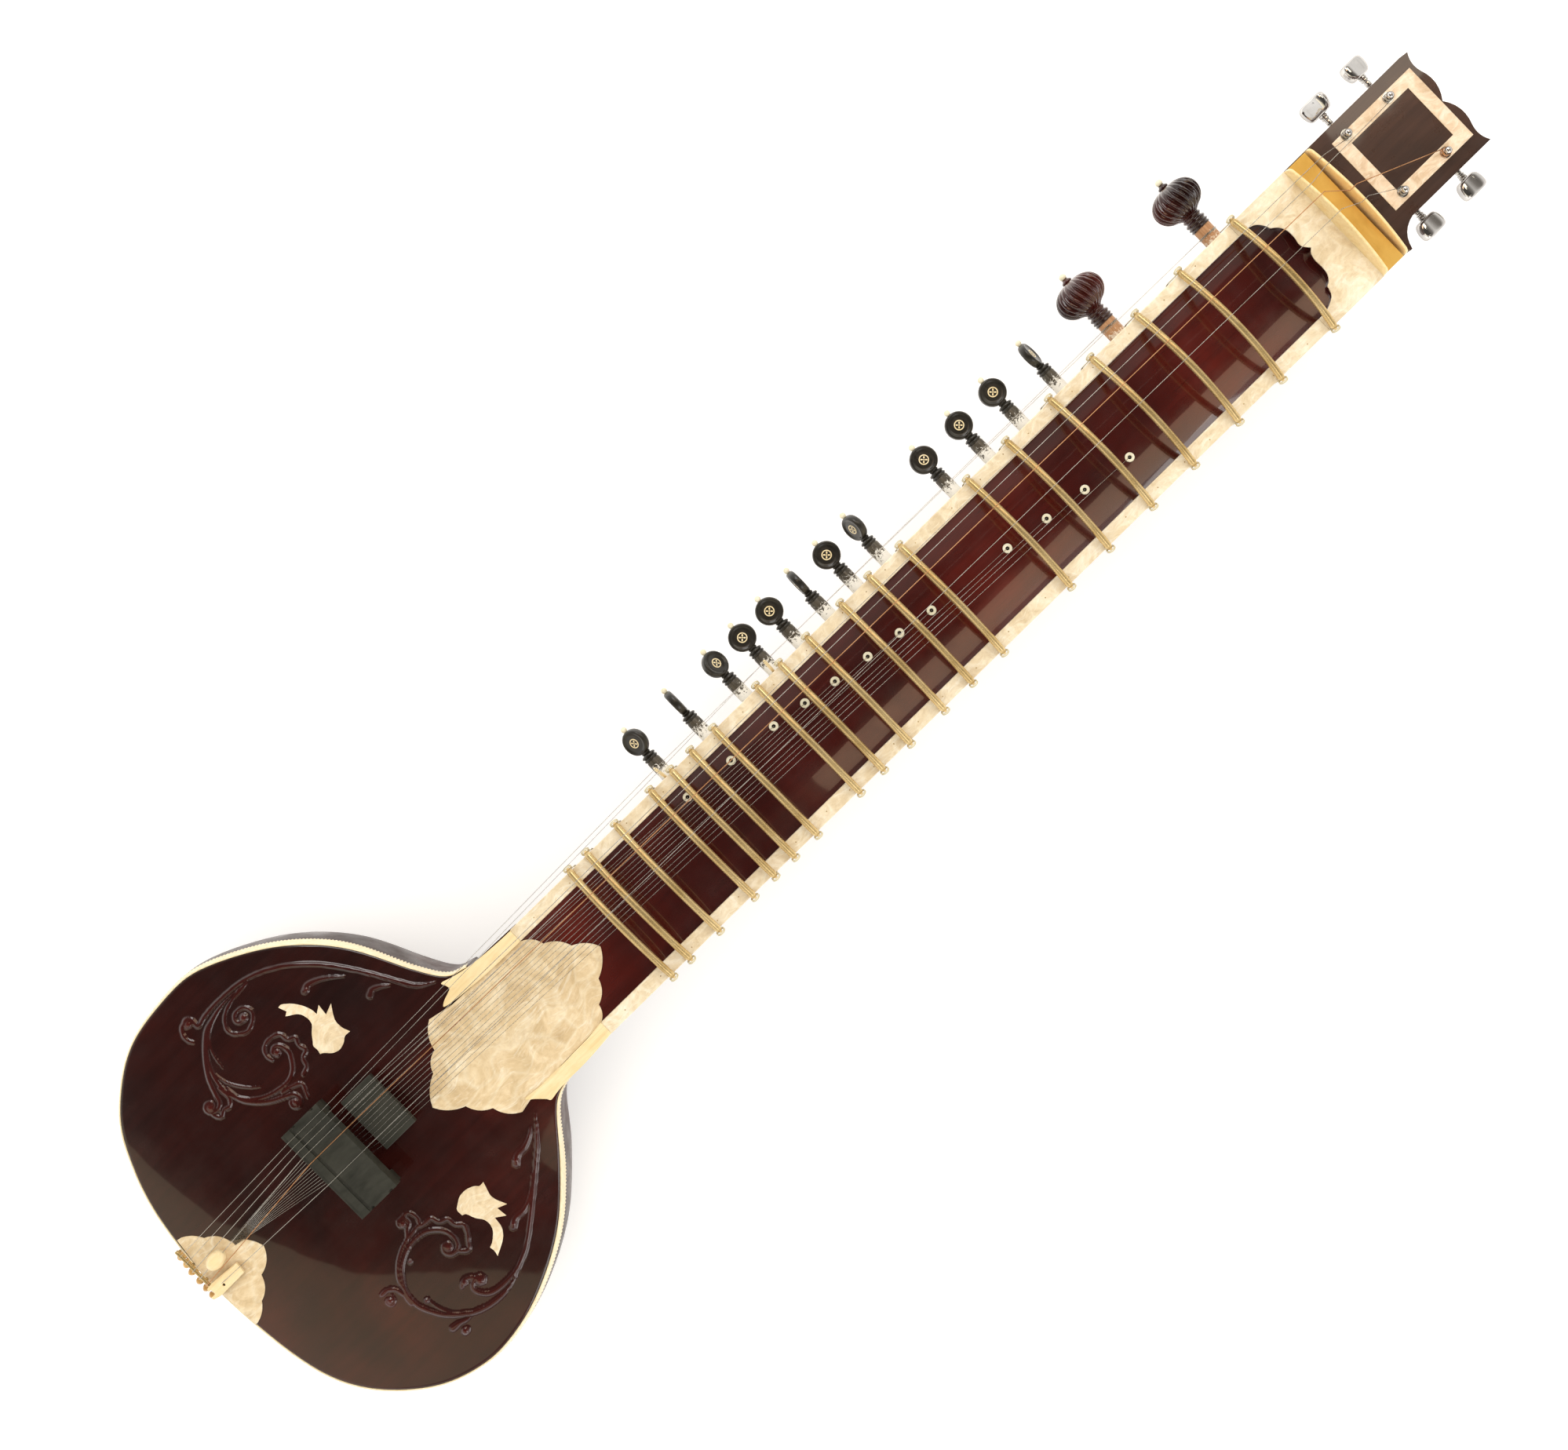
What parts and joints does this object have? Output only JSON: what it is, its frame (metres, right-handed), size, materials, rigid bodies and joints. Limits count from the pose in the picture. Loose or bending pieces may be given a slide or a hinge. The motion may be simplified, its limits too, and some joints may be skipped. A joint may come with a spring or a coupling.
{
  "type": "sitar",
  "caption": "Plucked lute with a rounded body, a wide hollow neck, arched sliding frets, side pegs, sympathetic strings and geared machine heads.",
  "frame": {"origin": "on the flat of the back, under the rear edge of the main bridge", "axes": "+Y along the neck to the head, +Z out of the face, side pegs on -X"},
  "size_m": [0.3108, 1.0646, 0.1247],
  "materials": {
    "shell_lacquer": "gloss lacquer",
    "board_lacquer": "gloss lacquer",
    "cover_lacquer": "gloss lacquer",
    "pearl": "pearl laminate",
    "bone": "polished bone",
    "head_lacquer": "gloss lacquer",
    "gilt": "satin gilt",
    "dark_horn": "smoothed horn",
    "brass": "polished",
    "string_steel": "drawn wire",
    "chrome": "polished",
    "black_peg": "polished ebony",
    "red_peg": "lacquered"
  },
  "bodies": {
    "root": {"body_shell": "shell_lacquer", "soundboard": "board_lacquer", "soundboard_binding": "bone", "shoulder_collar": "shell_lacquer", "neck_trough": "pearl", "neck_cover": "cover_lacquer", "fret_rails": "pearl", "pearl_inlays": "pearl", "headstock": "head_lacquer", "nut_bars": "bone", "name_plate": "gilt", "main_bridge": "dark_horn", "taraf_bridge": "dark_horn", "tailpiece": "brass", "bone_fittings": "bone", "strings": "string_steel", "tuner_housings": "chrome"},
    "tuning_bead": {"tuning_bead": "bone"},
    "tuner_button_1": {"tuner_button_1": "chrome"},
    "tuner_post_1": {"tuner_post_1": "chrome"},
    "tuner_button_2": {"tuner_button_2": "chrome"},
    "tuner_post_2": {"tuner_post_2": "chrome"},
    "tuner_button_3": {"tuner_button_3": "chrome"},
    "tuner_post_3": {"tuner_post_3": "chrome"},
    "tuner_button_4": {"tuner_button_4": "chrome"},
    "tuner_post_4": {"tuner_post_4": "chrome"},
    "small_peg_01": {"small_peg_01": "black_peg"},
    "small_peg_02": {"small_peg_02": "black_peg"},
    "small_peg_03": {"small_peg_03": "black_peg"},
    "small_peg_04": {"small_peg_04": "black_peg"},
    "small_peg_05": {"small_peg_05": "black_peg"},
    "small_peg_06": {"small_peg_06": "black_peg"},
    "small_peg_07": {"small_peg_07": "black_peg"},
    "small_peg_08": {"small_peg_08": "black_peg"},
    "small_peg_09": {"small_peg_09": "black_peg"},
    "small_peg_10": {"small_peg_10": "black_peg"},
    "small_peg_11": {"small_peg_11": "black_peg"},
    "small_peg_12": {"small_peg_12": "black_peg"},
    "large_peg_1": {"large_peg_1": "red_peg"},
    "large_peg_2": {"large_peg_2": "red_peg"},
    "fret_01": {"fret_01": "brass"},
    "fret_02": {"fret_02": "brass"},
    "fret_03": {"fret_03": "brass"},
    "fret_04": {"fret_04": "brass"},
    "fret_05": {"fret_05": "brass"},
    "fret_06": {"fret_06": "brass"},
    "fret_07": {"fret_07": "brass"},
    "fret_08": {"fret_08": "brass"},
    "fret_09": {"fret_09": "brass"},
    "fret_10": {"fret_10": "brass"},
    "fret_11": {"fret_11": "brass"},
    "fret_12": {"fret_12": "brass"},
    "fret_13": {"fret_13": "brass"},
    "fret_14": {"fret_14": "brass"},
    "fret_15": {"fret_15": "brass"},
    "fret_16": {"fret_16": "brass"},
    "fret_17": {"fret_17": "brass"},
    "fret_18": {"fret_18": "brass"},
    "fret_19": {"fret_19": "brass"},
    "fret_20": {"fret_20": "brass"}
  },
  "joints": [
    {"name": "large_peg_1_turn", "type": "hinge", "parent": "root", "child": "large_peg_1", "pos_m": [-0.06, 0.703, 0.078], "axis": [1, 0, 0], "continuous": true},
    {"name": "large_peg_2_turn", "type": "hinge", "parent": "root", "child": "large_peg_2", "pos_m": [-0.06, 0.7869, 0.078], "axis": [1, 0, 0], "continuous": true},
    {"name": "tuner_1_button_turn", "type": "hinge", "parent": "root", "child": "tuner_button_1", "pos_m": [-0.0338, 0.89, 0.0775], "axis": [1, 0, 0], "continuous": true},
    {"name": "tuner_2_button_turn", "type": "hinge", "parent": "root", "child": "tuner_button_2", "pos_m": [-0.0322, 0.9241, 0.0775], "axis": [1, 0, 0], "continuous": true},
    {"name": "tuner_3_button_turn", "type": "hinge", "parent": "root", "child": "tuner_button_3", "pos_m": [0.0152, 0.8909, 0.0775], "axis": [1, 0, 0], "continuous": true},
    {"name": "tuner_4_button_turn", "type": "hinge", "parent": "root", "child": "tuner_button_4", "pos_m": [0.0164, 0.9264, 0.0775], "axis": [1, 0, 0], "continuous": true},
    {"name": "tuner_1_post_turn", "type": "hinge", "parent": "root", "child": "tuner_post_1", "pos_m": [-0.0338, 0.8817, 0.0775], "axis": [0, 0, 1], "continuous": true},
    {"name": "tuner_2_post_turn", "type": "hinge", "parent": "root", "child": "tuner_post_2", "pos_m": [-0.0322, 0.9158, 0.0775], "axis": [0, 0, 1], "continuous": true},
    {"name": "tuner_3_post_turn", "type": "hinge", "parent": "root", "child": "tuner_post_3", "pos_m": [0.0152, 0.8826, 0.0775], "axis": [0, 0, 1], "continuous": true},
    {"name": "tuner_4_post_turn", "type": "hinge", "parent": "root", "child": "tuner_post_4", "pos_m": [0.0164, 0.9181, 0.0775], "axis": [0, 0, 1], "continuous": true},
    {"name": "tuning_bead_slide", "type": "slide", "parent": "root", "child": "tuning_bead", "axis": [-0.0793, 0.9531, 0.2921], "range_m": [-0.002, 0.012]},
    {"name": "small_peg_01_turn", "type": "hinge", "parent": "root", "child": "small_peg_01", "pos_m": [-0.06, 0.3105, 0.078], "axis": [1, 0, 0], "continuous": true},
    {"name": "small_peg_02_turn", "type": "hinge", "parent": "root", "child": "small_peg_02", "pos_m": [-0.06, 0.3455, 0.078], "axis": [1, 0, 0], "continuous": true},
    {"name": "small_peg_03_turn", "type": "hinge", "parent": "root", "child": "small_peg_03", "pos_m": [-0.06, 0.3798, 0.078], "axis": [1, 0, 0], "continuous": true},
    {"name": "small_peg_04_turn", "type": "hinge", "parent": "root", "child": "small_peg_04", "pos_m": [-0.06, 0.4035, 0.078], "axis": [1, 0, 0], "continuous": true},
    {"name": "small_peg_05_turn", "type": "hinge", "parent": "root", "child": "small_peg_05", "pos_m": [-0.06, 0.4271, 0.078], "axis": [1, 0, 0], "continuous": true},
    {"name": "small_peg_06_turn", "type": "hinge", "parent": "root", "child": "small_peg_06", "pos_m": [-0.06, 0.4523, 0.078], "axis": [1, 0, 0], "continuous": true},
    {"name": "small_peg_07_turn", "type": "hinge", "parent": "root", "child": "small_peg_07", "pos_m": [-0.06, 0.477, 0.078], "axis": [1, 0, 0], "continuous": true},
    {"name": "small_peg_08_turn", "type": "hinge", "parent": "root", "child": "small_peg_08", "pos_m": [-0.06, 0.5014, 0.078], "axis": [1, 0, 0], "continuous": true},
    {"name": "small_peg_09_turn", "type": "hinge", "parent": "root", "child": "small_peg_09", "pos_m": [-0.06, 0.5617, 0.078], "axis": [1, 0, 0], "continuous": true},
    {"name": "small_peg_10_turn", "type": "hinge", "parent": "root", "child": "small_peg_10", "pos_m": [-0.06, 0.5924, 0.078], "axis": [1, 0, 0], "continuous": true},
    {"name": "small_peg_11_turn", "type": "hinge", "parent": "root", "child": "small_peg_11", "pos_m": [-0.06, 0.6218, 0.078], "axis": [1, 0, 0], "continuous": true},
    {"name": "small_peg_12_turn", "type": "hinge", "parent": "root", "child": "small_peg_12", "pos_m": [-0.06, 0.6546, 0.078], "axis": [1, 0, 0], "continuous": true},
    {"name": "fret_01_slide", "type": "slide", "parent": "root", "child": "fret_01", "axis": [0, 1, 0], "range_m": [-0.004, 0.004]},
    {"name": "fret_02_slide", "type": "slide", "parent": "root", "child": "fret_02", "axis": [0, 1, 0], "range_m": [-0.004, 0.004]},
    {"name": "fret_03_slide", "type": "slide", "parent": "root", "child": "fret_03", "axis": [0, 1, 0], "range_m": [-0.004, 0.004]},
    {"name": "fret_04_slide", "type": "slide", "parent": "root", "child": "fret_04", "axis": [0, 1, 0], "range_m": [-0.004, 0.004]},
    {"name": "fret_05_slide", "type": "slide", "parent": "root", "child": "fret_05", "axis": [0, 1, 0], "range_m": [-0.001, 0.004]},
    {"name": "fret_06_slide", "type": "slide", "parent": "root", "child": "fret_06", "axis": [0, 1, 0], "range_m": [-0.004, 0.004]},
    {"name": "fret_07_slide", "type": "slide", "parent": "root", "child": "fret_07", "axis": [0, 1, 0], "range_m": [-0.002, 0.004]},
    {"name": "fret_08_slide", "type": "slide", "parent": "root", "child": "fret_08", "axis": [0, 1, 0], "range_m": [-0.0022, 0.004]},
    {"name": "fret_09_slide", "type": "slide", "parent": "root", "child": "fret_09", "axis": [0, 1, 0], "range_m": [-0.001, 0.004]},
    {"name": "fret_10_slide", "type": "slide", "parent": "root", "child": "fret_10", "axis": [0, 1, 0], "range_m": [-0.0007, 0.004]},
    {"name": "fret_11_slide", "type": "slide", "parent": "root", "child": "fret_11", "axis": [0, 1, 0], "range_m": [-0.003, 0.004]},
    {"name": "fret_12_slide", "type": "slide", "parent": "root", "child": "fret_12", "axis": [0, 1, 0], "range_m": [-0.0025, 0.004]},
    {"name": "fret_13_slide", "type": "slide", "parent": "root", "child": "fret_13", "axis": [0, 1, 0], "range_m": [-0.0031, 0.004]},
    {"name": "fret_14_slide", "type": "slide", "parent": "root", "child": "fret_14", "axis": [0, 1, 0], "range_m": [-0.0024, 0.004]},
    {"name": "fret_15_slide", "type": "slide", "parent": "root", "child": "fret_15", "axis": [0, 1, 0], "range_m": [-0.003, 0.004]},
    {"name": "fret_16_slide", "type": "slide", "parent": "root", "child": "fret_16", "axis": [0, 1, 0], "range_m": [-0.004, 0.004]},
    {"name": "fret_17_slide", "type": "slide", "parent": "root", "child": "fret_17", "axis": [0, 1, 0], "range_m": [-0.004, 0.004]},
    {"name": "fret_18_slide", "type": "slide", "parent": "root", "child": "fret_18", "axis": [0, 1, 0], "range_m": [-0.0016, 0.004]},
    {"name": "fret_19_slide", "type": "slide", "parent": "root", "child": "fret_19", "axis": [0, 1, 0], "range_m": [-0.004, 0.004]},
    {"name": "fret_20_slide", "type": "slide", "parent": "root", "child": "fret_20", "axis": [0, 1, 0], "range_m": [-0.0014, 0.004]}
  ],
  "couplings": [
    {"joint": "tuner_1_post_turn", "follows": "tuner_1_button_turn", "ratio": 0.071429},
    {"joint": "tuner_2_post_turn", "follows": "tuner_2_button_turn", "ratio": 0.071429},
    {"joint": "tuner_3_post_turn", "follows": "tuner_3_button_turn", "ratio": 0.071429},
    {"joint": "tuner_4_post_turn", "follows": "tuner_4_button_turn", "ratio": 0.071429}
  ]
}
